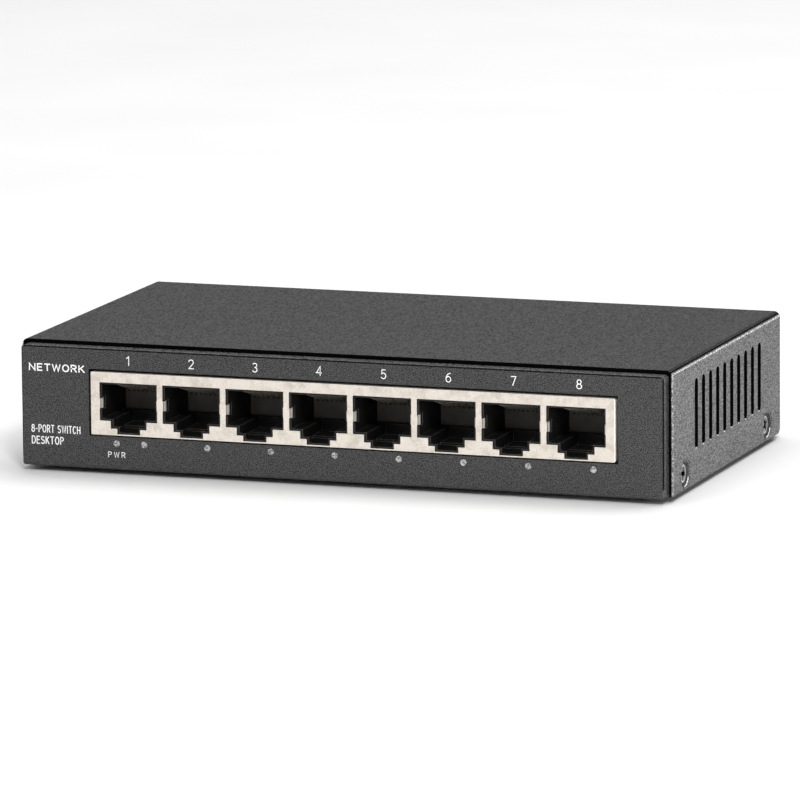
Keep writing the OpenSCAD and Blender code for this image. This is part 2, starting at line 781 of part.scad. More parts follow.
module power_socket_spring() {
    root_y = leaf_root[0];
    root_z = leaf_root[1];
    color([0.85, 0.82, 0.7]) at_socket() translate([0, 0, socket_axis_z]) {
        rotate([90, 0, -90]) linear_extrude(leaf_w, center = true) polygon([
            [-root_y, root_z + leaf_t / 2], [-4.6, -2.35], [-3.9, -2.35], [-2.5, -3.2],
            [-2.5, -3.2 - leaf_t], [-3.9, -2.35 - leaf_t], [-4.6, -2.35 - leaf_t],
            [-root_y, root_z - leaf_t / 2],
        ]);
        translate([0, root_y, root_z]) bar_x(2 * leaf_eye_r, 2 * leaf_eye_r, -leaf_w / 2, leaf_w / 2);
    }
}

// The rear terminal holds the eye of the spring in a half-round seat.
module power_socket_terminals() {
    root_y = leaf_root[0];
    root_z = socket_axis_z + leaf_root[1];
    color([0.8, 0.8, 0.8]) at_socket() {
        difference() {
            union() {
                span([-leaf_w / 2, root_y + 0.1, -board_t - 1.5], [leaf_w / 2, root_y + 0.4, root_z]);
                span([-leaf_w / 2, root_y - 0.3, root_z - 0.7], [leaf_w / 2, root_y + 0.6, root_z]);
            }
            translate([0, root_y, root_z]) bar_x(2 * leaf_eye_r + 2 * slip, 2 * leaf_eye_r + 2 * slip, -2, 2);
        }
        span([-leaf_w / 2, 7.3, -board_t - 1.5], [leaf_w / 2, 7.6, 1]);
    }
}

chassis();
cover();
cover_screws();
rubber_feet();
circuit_board();
board_standoffs();
board_screws();
port_shield();
port_housing();
port_back_plates();
contact_carriers();
contact_tails();
port_1_contacts();
port_2_contacts();
port_3_contacts();
port_4_contacts();
port_5_contacts();
port_6_contacts();
port_7_contacts();
port_8_contacts();
light_pipes();
light_pipe_holder();
link_leds();
power_led();
lan_transformers();
transformer_leads();
switch_chip();
switch_chip_leads();
settings_memory_chip();
crystal();
electrolytic_capacitors();
power_inductor();
regulator_chip();
input_diode();
input_fuse();
chip_resistors();
chip_capacitors();
power_socket_housing();
power_socket_pin();
power_socket_spring();
power_socket_terminals();
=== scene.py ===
"""The finished look of an eight-port desktop network switch."""
import math

import bpy
from mathutils import Matrix, Vector

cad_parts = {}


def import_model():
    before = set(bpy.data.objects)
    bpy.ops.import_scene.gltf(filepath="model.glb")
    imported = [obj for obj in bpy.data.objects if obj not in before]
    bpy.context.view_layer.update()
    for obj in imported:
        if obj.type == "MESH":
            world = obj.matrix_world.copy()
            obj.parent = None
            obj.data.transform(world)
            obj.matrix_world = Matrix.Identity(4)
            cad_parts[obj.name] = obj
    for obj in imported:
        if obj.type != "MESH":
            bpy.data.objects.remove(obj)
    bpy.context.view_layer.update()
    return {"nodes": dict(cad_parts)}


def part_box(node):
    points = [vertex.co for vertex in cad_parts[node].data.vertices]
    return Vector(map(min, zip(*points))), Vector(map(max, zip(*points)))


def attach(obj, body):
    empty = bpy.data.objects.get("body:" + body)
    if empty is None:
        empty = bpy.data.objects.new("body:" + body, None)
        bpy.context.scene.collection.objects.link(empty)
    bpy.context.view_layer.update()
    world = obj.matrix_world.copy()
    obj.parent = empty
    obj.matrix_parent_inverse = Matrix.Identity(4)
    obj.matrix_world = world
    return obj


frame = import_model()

MM = 0.001
CASE_BODY = "switch_case"
NODES = frame["nodes"]
PORTS = range(1, 9)


# ------------------------------------------------------------------ shader graphs

class Graph:
    """A node material under construction, in the part's own coordinates."""

    def __init__(self, name, **inputs):
        self.material = bpy.data.materials.new(name)
        self.material.use_nodes = True
        self.tree = self.material.node_tree
        self.shader = self.tree.nodes["Principled BSDF"]
        self.place = self.add("TexCoord").outputs["Object"]
        self.set(**inputs)

    def feed(self, socket, value):
        """Links a socket to an input, or sets the input to a constant."""
        if isinstance(value, bpy.types.NodeSocket):
            self.tree.links.new(value, socket)
        else:
            socket.default_value = value

    def set(self, **inputs):
        for name, value in inputs.items():
            self.feed(self.shader.inputs[name.replace("_", " ")], value)

    def add(self, kind, settings=None, **inputs):
        made = self.tree.nodes.new("ShaderNode" + kind)
        for name, value in (settings or {}).items():
            setattr(made, name, value)
        for name, value in inputs.items():
            self.feed(made.inputs[name.replace("_", " ")], value)
        return made

    def math(self, operation, *values):
        made = self.add("Math", {"operation": operation})
        for socket, value in zip(made.inputs, values):
            self.feed(socket, value)
        return made.outputs[0]

    def chain(self, operation, first, *others):
        """Applies an operation to the first two values, then to its result and the next, and so on."""
        for other in others:
            first = self.math(operation, first, other)
        return first

    def product(self, *values):
        return self.chain("MULTIPLY", *values)

    def total(self, *values):
        return self.chain("ADD", *values)

    def most(self, *values):
        return self.chain("MAXIMUM", *values)

    def size(self, value):
        return self.math("ABSOLUTE", value)

    def distance(self, value, middle):
        return self.size(self.math("SUBTRACT", value, middle))

    def above(self, value, limit):
        return self.math("GREATER_THAN", value, limit)

    def below(self, value, limit):
        return self.math("LESS_THAN", value, limit)

    def inverse(self, mask):
        return self.math("SUBTRACT", 1.0, mask)

    def stretched(self, x, y, z):
        return self.add("Mapping", Vector=self.place, Scale=(x, y, z)).outputs[0]

    def noise(self, grain_mm, detail=2.0, vector=None, roughness=0.5):
        """Noise between about 0.3 and 0.7, whose grains are about grain_mm across."""
        made = self.add("TexNoise", Vector=vector or self.place, Scale=1 / (grain_mm * MM),
                        Detail=detail, Roughness=roughness)
        return made.outputs[0]

    def spread(self, value, low, high, from_low=0.3, from_high=0.7):
        """Maps from_low and from_high to low and high. Values outside them stay at low or high."""
        made = self.add("MapRange", Value=value, From_Min=from_low, From_Max=from_high,
                        To_Min=low, To_Max=high)
        return made.outputs[0]

    def blend(self, factor, first, second):
        made = self.add("Mix", {"data_type": "RGBA"})
        for name, value in (("Factor_Float", factor), ("A_Color", first), ("B_Color", second)):
            socket = next(s for s in made.inputs if s.identifier == name)
            self.feed(socket, value)
        return next(s for s in made.outputs if s.identifier == "Result_Color")

    def bump(self, height, depth_mm, strength=1.0, normal=None):
        made = self.add("Bump", Height=height, Distance=depth_mm * MM, Strength=strength)
        if normal is not None:
            self.feed(made.inputs["Normal"], normal)
        return made.outputs[0]

    def round_edges(self, radius_mm):
        return self.add("Bevel", {"samples": 4}, Radius=radius_mm * MM).outputs[0]

    def edge_mask(self, rounded):
        """1 on sharp edges and 0 on flats, from the cosine between a rounded normal and the true one."""
        sharp, flat = 0.86, 0.995
        geometry = self.add("NewGeometry")
        dot = self.add("VectorMath", {"operation": "DOT_PRODUCT"})
        self.feed(dot.inputs[0], rounded)
        self.feed(dot.inputs[1], geometry.outputs["True Normal"])
        return self.spread(dot.outputs["Value"], 1.0, 0.0, sharp, flat)

    def clear_from_behind(self):
        """Lets the camera see through the back of the surface."""
        geometry = self.add("NewGeometry")
        mix = self.add("MixShader", Fac=geometry.outputs["Backfacing"])
        self.feed(mix.inputs[1], self.shader.outputs[0])
        self.feed(mix.inputs[2], self.add("BsdfTransparent").outputs[0])
        self.feed(self.tree.nodes["Material Output"].inputs["Surface"], mix.outputs[0])

    def split(self, vector):
        return self.add("SeparateXYZ", Vector=vector).outputs

    def facing(self):
        """The direction that the flat face points, as X, Y and Z."""
        return self.split(self.add("NewGeometry").outputs["True Normal"])


def grey(value, warm=0.0):
    return (value * (1 + warm), value, value * (1 - warm), 1.0)


# ------------------------------------------------------------------ materials

# How much of a face's unit normal lies along an axis
SQUARE_ON = 0.9                # at least this much on a face that is square to the axis
SLANTED = 0.5                  # at least this much on a face that is steep to the other axes
PANEL_BENDS = (0.42, 0.975)    # the range on the tight bends round the panels

# Depths on the sheet metal of the case, from the faces of its box
SKIN = 0.3 * MM                # a face deeper than this is not on the outer surface
EDGE_SKIN = 0.2 * MM           # the painted highlights on the cover's edges are within this depth of its sides
INNER_FACE = 0.8 * MM          # just past the inner face of the sheet
SHOULDER = (1.0 * MM, 0.6 * MM)    # width and depth of the shoulder of the top bend, which gets painted shade
CREST_DEPTH = 0.95 * MM        # from the top down to the painted highlight on the crest of each side
CREST_HALF = (0.10 * MM, 0.26 * MM)    # half width of the crest's painted highlight, and of its soft edge
FRONT_HIGHLIGHT = (0.3 * MM, 0.8 * MM)    # width of the front edge's painted highlight, and of its soft edge
ROOF_DEPTH = 3 * MM            # the top and its long bends end above this depth
SLOT_ROOF_DEPTH = 2 * MM       # the slots are below this depth
LEDGE_DEPTH = 1.5 * MM         # the ledges of the panels end above this depth
FLOOR_BENDS = 2 * MM           # the chassis' bends along the floor end below this height
END_MARGIN = 1 * MM            # the cover's front and rear edges are within this of its ends
DIMPLE_TOP = 6.5 * MM          # the cones of the screws' dimples are below this height, and the slots above

# The powder coat's dark ground and pale flecks. Painted light: both are paler on the cover's flanks, and the
# flecks a little paler on other upright faces than on top.
GROUND = grey(0.008)
GROUND_LIT_ON_FLANK = grey(0.035)
FLECK_ON_TOP = grey(0.055)
FLECK_LIT_IN_FRONT = grey(0.07)
FLECK_LIT_ON_FLANK = grey(0.165)
# The greys of the painted highlights and of the painted shade
COVER_HIGHLIGHT = (grey(0.35), grey(0.9))
LEDGE_HIGHLIGHT = (grey(0.01), grey(0.11))
SHADED = grey(0.002)


def cover_wear(g, low, high, place, normal, peel):
    """Masks of the painted highlights on the cover's edges and of the painted shade in its shaded places."""
    across = g.size(place["X"])
    steep = g.above(g.size(normal["Y"]), SLANTED)
    under = g.product(g.below(across, high.x - SKIN), g.below(place["Z"], high.z - SKIN))

    # The cut edges, the walls of the slots and the inside get painted shade, but not the dimples, which face
    # outwards.
    to_side = g.product(normal["X"], g.math("SIGN", place["X"]))
    outward = g.product(g.inverse(g.below(to_side, 0.05)),
                        g.inverse(g.above(place["Z"], high.z - ROOF_DEPTH)))
    cut = g.product(steep, g.below(across, high.x - INNER_FACE))
    wall = g.product(steep, g.below(g.size(place["Y"]), high.y - END_MARGIN),
                     g.above(place["Z"], low.z + DIMPLE_TOP))
    dull = g.product(g.inverse(outward), g.most(cut, wall, under))
    # The front half of each dimple faces the rear and gets painted shade. The shoulder of the top bend gets
    # painted shade too.
    shade = g.product(outward, g.spread(normal["Y"], 0.0, 0.9, 0.03, 0.12))
    shoulder = g.product(g.above(across, high.x - SHOULDER[0]), g.above(place["Z"], high.z - SHOULDER[1]))
    dark = g.most(dull, shade, g.product(shoulder, 0.6))

    # The front edge, the crest of each side and the lower ends of the slots get painted highlights, in
    # patches.
    front = g.spread(place["Y"], 0.7, 0.0, *(low.y + width for width in FRONT_HIGHLIGHT))
    crest = g.spread(g.distance(place["Z"], high.z - CREST_DEPTH), 1.0, 0.0, *CREST_HALF)
    patches = g.spread(peel, 0.1, 1.0, 0.44, 0.58)
    edges = g.product(g.above(across, high.x - EDGE_SKIN), g.most(front, crest), patches)
    sill = g.product(g.above(normal["Z"], 0.3), g.below(normal["Y"], 0.2),
                     g.below(place["Z"], high.z - SLOT_ROOF_DEPTH), g.inverse(under))
    return g.most(edges, sill), dark


def chassis_wear(g, low, high, place, normal):
    """Masks of the painted highlight on the ledges on top of the panels, and of the painted shade on the
    tight bends that turn away from the light.
    """
    leaning = g.size(normal["Y"])
    # Painted shade on the tight bends round the panels
    bend = g.product(g.above(leaning, PANEL_BENDS[0]), g.below(leaning, PANEL_BENDS[1]),
                     g.above(place["Z"], low.z + FLOOR_BENDS))
    # Painted highlight on the ledges on top of the panels
    ledge = g.product(g.above(normal["Z"], SQUARE_ON), g.above(place["Z"], high.z - LEDGE_DEPTH))
    return ledge, g.product(bend, 0.92)


def powder_coat(name, low, high, is_cover=False):
    """Textured black powder coat on sheet metal that fills the box from low to high."""
    g = Graph(name, IOR=1.5)
    place = g.split(g.place)
    normal = g.facing()
    upright = g.below(normal["Z"], SQUARE_ON)
    flank = g.above(g.size(normal["X"]), SQUARE_ON) if is_cover else 0.0

    def by_side(top, upright_adds, flank_adds):
        """A value on faces that point up, with what upright faces and the cover's flanks add to it."""
        return g.total(top, g.product(upright, upright_adds), g.product(flank, flank_adds))

    peel = g.noise(0.5)
    grain = g.noise(0.2, 1, g.stretched(1, 0.25, 1))
    fleck = g.spread(grain, 0, 1, 0.38, 0.62)
    # Painted light: the flecks are paler on upright faces and palest on the cover's flanks
    pale = g.blend(upright, FLECK_ON_TOP, g.blend(flank, FLECK_LIT_IN_FRONT, FLECK_LIT_ON_FLANK))
    base = g.blend(fleck, g.blend(flank, GROUND, GROUND_LIT_ON_FLANK), pale)
    if is_cover:
        painted_highlight, dark = cover_wear(g, low, high, place, normal, peel)
        painted_highlight_colours = COVER_HIGHLIGHT
    else:
        painted_highlight, dark = chassis_wear(g, low, high, place, normal)
        painted_highlight_colours = LEDGE_HIGHLIGHT
    # Painted highlights: paler greys over the coat where the highlight mask is set
    base = g.blend(painted_highlight, base, g.blend(fleck, *painted_highlight_colours))
    gloss = g.product(by_side(top=0.19, upright_adds=0.12, flank_adds=-0.215),
                      g.spread(fleck, 0.7, 1.3, 0, 1), g.inverse(dark))
    height = g.total(g.product(peel, 0.25), g.product(grain, 0.75))
    height_mm = g.product(height, by_side(top=0.05, upright_adds=0.01, flank_adds=0.04))
    # Painted shade where the dark mask is set
    g.set(Base_Color=g.blend(dark, base, SHADED), Specular_IOR_Level=gloss,
          Roughness=g.spread(g.noise(14), 0.30, 0.38),
          Normal=g.bump(height_mm, 1.0, 1.0, g.round_edges(0.12)))
    return g.material


def plated_steel(name, front_y):
    """Satin nickel-plated sheet with a faint rolled grain and dull stains. Behind front_y it is duller."""
    g = Graph(name)
    front_face = 0.35 * MM      # deeper than this, the sheet is folded in
    folded_in = g.above(g.split(g.place)["Y"], front_y + front_face)
    rolled = g.noise(0.25, 3, g.stretched(0.6, 1, 0.8))
    stains = g.noise(2.5, 5, roughness=0.75)
    clean = g.blend(g.spread(rolled, 0, 1), (0.79, 0.73, 0.65, 1), (0.90, 0.83, 0.75, 1))
    stained = (0.50, 0.43, 0.36, 1)
    base = g.blend(g.spread(stains, 0, 0.5, 0.47, 0.66), clean, stained)
    rounded = g.round_edges(0.1)
    # Painted highlight: the edges are blended towards white
    base = g.blend(g.product(g.edge_mask(rounded), 0.8), base, grey(1.0))
    g.set(Base_Color=base, Metallic=g.inverse(g.product(folded_in, 0.4)),
          Roughness=g.spread(stains, 0.30, 0.42), Normal=g.bump(rolled, 0.008, 0.5, rounded))
    return g.material


def moulded_plastic(name, value, rough=0.42, warm=0.02, edge_highlight=0.0):
    """Moulded plastic with a spark-eroded grain. Its last argument says how pale its edges are painted, a
    painted highlight.
    """
    g = Graph(name, IOR=1.52, Specular_IOR_Level=0.22)
    spark = g.noise(0.12)
    base = g.blend(g.spread(g.noise(3), 0, 1), grey(value * 0.85, warm), grey(value * 1.15, warm))
    rounded = g.round_edges(0.1)
    # Painted highlight on the edges
    base = g.blend(g.product(g.edge_mask(rounded), edge_highlight), base, grey(0.5, warm))
    g.set(Base_Color=base, Roughness=g.spread(spark, rough - 0.06, rough + 0.08),
          Normal=g.bump(spark, 0.01, 0.5, rounded))
    return g.material


def bright_metal(name, colour, rough, grain_mm=0.15, metallic=1.0):
    """Plated or tinned metal with a fine grain."""
    g = Graph(name, Metallic=metallic)
    grain = g.noise(grain_mm, 3)
    dark = tuple(c * 0.82 for c in colour) + (1.0,)
    base = g.blend(g.spread(grain, 0, 1), dark, colour + (1.0,))
    g.set(Base_Color=base, Roughness=g.spread(g.noise(1.2), rough - 0.05, rough + 0.1),
          Normal=g.bump(grain, 0.006, 0.5))
    return g.material


def screw_black(name, low, high):
    """Black-oxide steel for the screws that fill the box: painted shade on the rims, a painted highlight ring
    and painted shade in the recesses.
    """
    g = Graph(name, Metallic=0.5)
    place = g.split(g.place)
    grain = g.noise(0.2, 3)
    rounded = g.round_edges(0.16)
    # Distance from the nearest screw's axis, in parts of the head's radius
    head_radius = (high.z - low.z) / 2
    row_half = (high.y - low.y) / 2 - head_radius
    along = g.math("SUBTRACT", g.distance(place["Y"], (low.y + high.y) / 2), row_half)
    up = g.math("SUBTRACT", place["Z"], (low.z + high.z) / 2)
    out = g.math("SQRT", g.total(g.product(along, along), g.product(up, up)))
    out = g.math("DIVIDE", out, head_radius)

    # A painted highlight ring, where the head's rim catches the light
    highlight_ring = g.spread(g.distance(out, 0.75), 0.8, 0.0, 0.03, 0.09)
    base = g.blend(g.product(highlight_ring, g.spread(grain, 0.5, 1.0)), grey(0.16), grey(0.85))
    # Painted shade on the rim, in the centre and on faces sunk below the head
    shaded_rim = g.spread(out, 0.0, 1.0, 0.82, 0.88)
    centre = g.spread(out, 1.0, 0.0, 0.26, 0.34)
    recess_depth = 0.08 * MM
    sunk = g.below(g.size(place["X"]), high.x - recess_depth)
    dark = g.most(shaded_rim, centre, sunk)
    base = g.blend(dark, base, grey(0.003))
    shine = g.math("SUBTRACT", 0.5, g.product(dark, 0.45))
    g.set(Base_Color=base, Specular_IOR_Level=shine, Roughness=g.spread(grain, 0.26, 0.4),
          Normal=g.bump(grain, 0.01, 0.5, rounded))
    return g.material


def rubber(name):
    g = Graph(name, IOR=1.5)
    pores = g.noise(0.3, 4)
    g.set(Base_Color=g.blend(g.spread(pores, 0, 1), grey(0.012), grey(0.03)),
          Roughness=g.spread(pores, 0.7, 0.9), Normal=g.bump(pores, 0.03, 0.6))
    return g.material


def board_laminate(name):
    """Green solder mask over copper tracks, with the bare weave showing on the cut edges."""
    g = Graph(name, IOR=1.55)
    diagonal = g.add("Mapping", Vector=g.place, Rotation=(0, 0, math.radians(45))).outputs[0]
    track_pitch = 6 * MM
    tracks = g.add("TexBrick", {"offset": 0.37, "squash": 1.0}, Vector=diagonal, Scale=1 / track_pitch,
                   Mortar_Size=0.03, Mortar_Smooth=0.2, Row_Height=0.22, Brick_Width=0.9)
    copper = g.inverse(tracks.outputs["Fac"])
    mask = g.blend(g.spread(g.noise(8, 3), 0, 1), (0.012, 0.085, 0.035, 1), (0.02, 0.115, 0.05, 1))
    base = g.blend(g.product(copper, 0.35), (0.01, 0.06, 0.028, 1), mask)
    cut = g.below(g.size(g.facing()["Z"]), SLANTED)
    glass = g.noise(0.2, 2, g.stretched(0.3, 0.3, 3))
    weave = g.blend(glass, (0.30, 0.28, 0.14, 1), (0.42, 0.40, 0.22, 1))
    g.set(Base_Color=g.blend(cut, base, weave), Roughness=g.spread(g.noise(0.5), 0.22, 0.34),
          Normal=g.bump(copper, 0.035, 0.8), Coat_Weight=0.3, Coat_Roughness=0.15)
    return g.material


def frosted_pipe(name):
    """Clear plastic whose end is frosted, so that it reads as a pale grey disc."""
    g = Graph(name, IOR=1.49, Coat_Weight=0.6, Coat_Roughness=0.08)
    facets = g.noise(0.35)
    base = g.blend(g.spread(facets, 0, 1, 0.4, 0.6), (0.16, 0.16, 0.16, 1), (0.5, 0.5, 0.49, 1))
    g.set(Base_Color=base, Roughness=g.spread(facets, 0.2, 0.45), Transmission_Weight=0.15,
          Subsurface_Weight=0.2, Subsurface_Radius=(0.001, 0.001, 0.001),
          Normal=g.bump(facets, 0.08, 0.9, g.round_edges(0.1)))
    return g.material


def led_body(name):
    g = Graph(name, IOR=1.5, Subsurface_Weight=0.3, Subsurface_Radius=(0.001, 0.001, 0.0006))
    haze = g.noise(0.3)
    g.set(Base_Color=g.blend(g.spread(haze, 0, 1), (0.7, 0.7, 0.58, 1), (0.85, 0.85, 0.76, 1)),
          Roughness=g.spread(haze, 0.15, 0.3), Normal=g.bump(haze, 0.01))
    return g.material


def chip_epoxy(name):
    """Black moulded epoxy with a fine matt grain."""
    g = Graph(name, IOR=1.5)
    filler = g.noise(0.08, 3)
    g.set(Base_Color=g.blend(g.spread(filler, 0, 1), grey(0.016), grey(0.032)),
          Roughness=g.spread(filler, 0.5, 0.68), Normal=g.bump(filler, 0.008, 0.6, g.round_edges(0.08)))
    return g.material


def capacitor_sleeve(name):
    """Dark sleeve round the sides, and the bare can with its scored vent on top."""
    g = Graph(name)
    brushed = g.noise(0.1, 2, g.stretched(0.1, 1, 1))
    bare = g.above(g.facing()["Z"], SQUARE_ON)
    sleeve = g.blend(g.spread(g.noise(0.6), 0, 1), (0.01, 0.012, 0.03, 1), (0.02, 0.024, 0.05, 1))
    metal = g.blend(brushed, (0.6, 0.6, 0.6, 1), (0.78, 0.78, 0.78, 1))
    g.set(Base_Color=g.blend(bare, sleeve, metal), Metallic=bare,
          Roughness=g.spread(brushed, 0.25, 0.4), Normal=g.bump(brushed, 0.01, 0.4, g.round_edges(0.1)))
    return g.material


def fired_ceramic(name, dark, light):
    g = Graph(name, IOR=1.6)
    grain = g.noise(0.2, 3)
    g.set(Base_Color=g.blend(g.spread(grain, 0, 1), dark, light),
          Roughness=g.spread(grain, 0.4, 0.6), Normal=g.bump(grain, 0.015, 0.6, g.round_edges(0.05)))
    return g.material


def screen_print(name):
    """White screen-printing ink, a little uneven."""
    g = Graph(name, IOR=1.45)
    ink = g.noise(0.15)
    g.set(Base_Color=g.blend(g.spread(ink, 0, 1), grey(0.72), grey(0.9)),
          Roughness=0.5, Normal=g.bump(ink, 0.006, 0.5))
    return g.material


def paint_nodes():
    """Gives every CAD node its material."""
    black = moulded_plastic("black_plastic", 0.006, warm=0.06, edge_highlight=0.26)
    tin = bright_metal("tinned_leads", (0.78, 0.77, 0.75), 0.3)
    # A darker, greyer gold than bare plating: painted shade, as the contacts sit in the ports' shade
    gold = bright_metal("contact_gold", (0.56, 0.51, 0.42), 0.3, 0.4, 0.6)
    zinc = bright_metal("zinc_plate", (0.72, 0.73, 0.75), 0.28)
    led = led_body("led_plastic")
    epoxy = chip_epoxy("chip_epoxy")
    looks = {
        "chassis": powder_coat("case_powder_coat", *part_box("chassis")),
        "cover": powder_coat("cover_powder_coat", *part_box("cover"), is_cover=True),
        "cover_screws": screw_black("black_oxide", *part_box("cover_screws")),
        "rubber_feet": rubber("foot_rubber"),
        "circuit_board": board_laminate("board_laminate"),
        "board_standoffs": zinc,
        "board_screws": zinc,
        "port_shield": plated_steel("nickel_plate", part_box("port_shield")[0].y),
        "port_housing": black,
        # The back plates are a paler grey than the black housing: painted light on the lit rear wall inside
        # each port
        "port_back_plates": moulded_plastic("back_plate_plastic", 0.11, 0.5, 0.1),
        "contact_carriers": moulded_plastic("carrier_plastic", 0.03, 0.5, 0.08),
        "contact_tails": gold,
        "light_pipes": frosted_pipe("light_pipe_plastic"),
        "light_pipe_holder": black,
        "link_leds": led,
        "power_led": led,
        "lan_transformers": epoxy,
        "transformer_leads": tin,
        "switch_chip": epoxy,
        "switch_chip_leads": tin,
        "settings_memory_chip": epoxy,
        "crystal": bright_metal("crystal_can", (0.76, 0.75, 0.72), 0.2),
        "electrolytic_capacitors": capacitor_sleeve("capacitor_sleeve"),
        "power_inductor": fired_ceramic("ferrite", grey(0.03), grey(0.06)),
        "regulator_chip": epoxy,
        "input_diode": epoxy,
        "input_fuse": fired_ceramic("fuse_body", (0.02, 0.09, 0.03, 1), (0.04, 0.14, 0.05, 1)),
        "chip_resistors": fired_ceramic("resistor_body", grey(0.02), grey(0.06)),
        "chip_capacitors": fired_ceramic("capacitor_body", (0.30, 0.20, 0.12, 1), (0.42, 0.30, 0.19, 1)),
        "power_socket_housing": black,
        "power_socket_pin": tin,
        "power_socket_spring": tin,
        "power_socket_terminals": tin,
    }
    looks.update({f"port_{port}_contacts": gold for port in PORTS})
    for name, node in NODES.items():
        node.data.materials.clear()
        node.data.materials.append(looks[name])


# ------------------------------------------------------------------ printing on the panels

def arc(x, y, radius_x, radius_y, start, stop):
    """Points along part of an ellipse. The angles are in degrees."""
    steps = max(2, round(abs(stop - start) / 20))
    angles = [math.radians(start + (stop - start) * i / steps) for i in range(steps + 1)]
    return [(x + radius_x * math.cos(a), y + radius_y * math.sin(a)) for a in angles]


BOWL = arc(0.28, 0.75, 0.26, 0.25, 90, -90)
STROKES = {      # each letter's pen strokes, in a cell one unit high, and its width
    "1": (0.34, [[(0.04, 0.78), (0.3, 1), (0.3, 0)]]),
    "2": (0.58, [arc(0.29, 0.72, 0.27, 0.28, 165, -35) + [(0.02, 0), (0.58, 0)]]),
    "3": (0.56, [arc(0.27, 0.76, 0.24, 0.24, 150, -90), arc(0.27, 0.26, 0.27, 0.26, 90, -155)]),
    "4": (0.60, [[(0.44, 0), (0.44, 1), (0, 0.3), (0.6, 0.3)]]),
    "5": (0.56, [[(0.5, 1), (0.12, 1), (0.05, 0.52)] + arc(0.27, 0.32, 0.28, 0.32, 125, -150)]),
    "6": (0.58, [arc(0.29, 0.31, 0.28, 0.31, 0, 360), arc(0.56, 0.36, 0.54, 0.64, 180, 95)]),
    "7": (0.56, [[(0, 1), (0.55, 1), (0.18, 0)]]),
    "8": (0.58, [arc(0.29, 0.76, 0.23, 0.24, 0, 360), arc(0.29, 0.27, 0.28, 0.27, 0, 360)]),
    "C": (0.60, [arc(0.32, 0.5, 0.32, 0.5, 50, 310)]),
    "D": (0.60, [[(0, 0), (0, 1)] + arc(0.24, 0.5, 0.36, 0.5, 90, -90) + [(0, 0)]]),
    "E": (0.50, [[(0.5, 1), (0, 1), (0, 0), (0.5, 0)], [(0, 0.52), (0.44, 0.52)]]),
    "H": (0.58, [[(0, 0), (0, 1)], [(0.58, 0), (0.58, 1)], [(0, 0.5), (0.58, 0.5)]]),
    "I": (0.06, [[(0.03, 0), (0.03, 1)]]),
    "K": (0.56, [[(0, 0), (0, 1)], [(0.52, 1), (0, 0.4)], [(0.18, 0.6), (0.56, 0)]]),
    "N": (0.60, [[(0, 0), (0, 1), (0.6, 0), (0.6, 1)]]),
    "O": (0.66, [arc(0.33, 0.5, 0.33, 0.5, 0, 360)]),
    "P": (0.54, [[(0, 0), (0, 1)] + BOWL + [(0, 0.5)]]),
    "R": (0.56, [[(0, 0), (0, 1)] + BOWL + [(0, 0.5)], [(0.26, 0.5), (0.56, 0)]]),
    "S": (0.56, [arc(0.28, 0.75, 0.25, 0.25, 35, 270) + arc(0.28, 0.26, 0.27, 0.26, 80, -150)]),
    "T": (0.58, [[(0, 1), (0.58, 1)], [(0.29, 1), (0.29, 0)]]),
    "W": (0.84, [[(0, 1), (0.2, 0), (0.42, 0.95), (0.64, 0), (0.84, 1)]]),
    "-": (0.34, [[(0.02, 0.45), (0.32, 0.45)]]),
    " ": (0.22, []),
}
INK = 0.012 * MM           # thickness of the ink
LAYER = 0.15               # each stroke of a letter is this much thicker, so that no two faces coincide
MITRE_LIMIT = 0.45         # cosine that keeps the mitres of sharp corners short
END_CAP = 0.3              # how far a stroke runs past its last point, in pen widths
PANEL_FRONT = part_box("chassis")[0].y
PANEL_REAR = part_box("chassis")[1].y
CASE_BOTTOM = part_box("chassis")[0].z


def pen_stroke(mesh, points, pen, thickness):
    """Adds a closed, mitred ribbon of ink along the points to the lists of vertices and faces in mesh."""
    points = [Vector(p) for p in points]
    closed = (points[0] - points[-1]).length < pen / 10    # the ends meet
    if closed:
        points = points[:-1]
    count = len(points)
    first = len(mesh["vertices"])
    for i, point in enumerate(points):
        after = points[(i + 1) % count] if closed or i < count - 1 else None
        before = points[i - 1] if closed or i > 0 else None
        into = (point - before).normalized() if before else (after - point).normalized()
        out = (after - point).normalized() if after else into
        across = Vector((-(into + out).y, (into + out).x)).normalized()
        reach = pen / 2 / max(MITRE_LIMIT, across.dot(Vector((-into.y, into.x))))
        end = Vector((0, 0)) if before and after else (into if after is None else -out) * pen * END_CAP
        for side in (1, -1):
            for depth in (0, thickness):
                mesh["vertices"].append((*(point + end + across * reach * side), depth))
    for i in range(count if closed else count - 1):
        a, b = first + 4 * i, first + 4 * ((i + 1) % count)
        mesh["faces"] += [(a + 1, a + 3, b + 3, b + 1), (a, a + 1, b + 1, b),
                          (a + 3, a + 2, b + 2, b + 3), (a + 2, a, b, b + 2)]
    if not closed:
        last = first + 4 * (count - 1)
        mesh["faces"] += [(first, first + 2, first + 3, first + 1), (last + 1, last + 3, last + 2, last)]


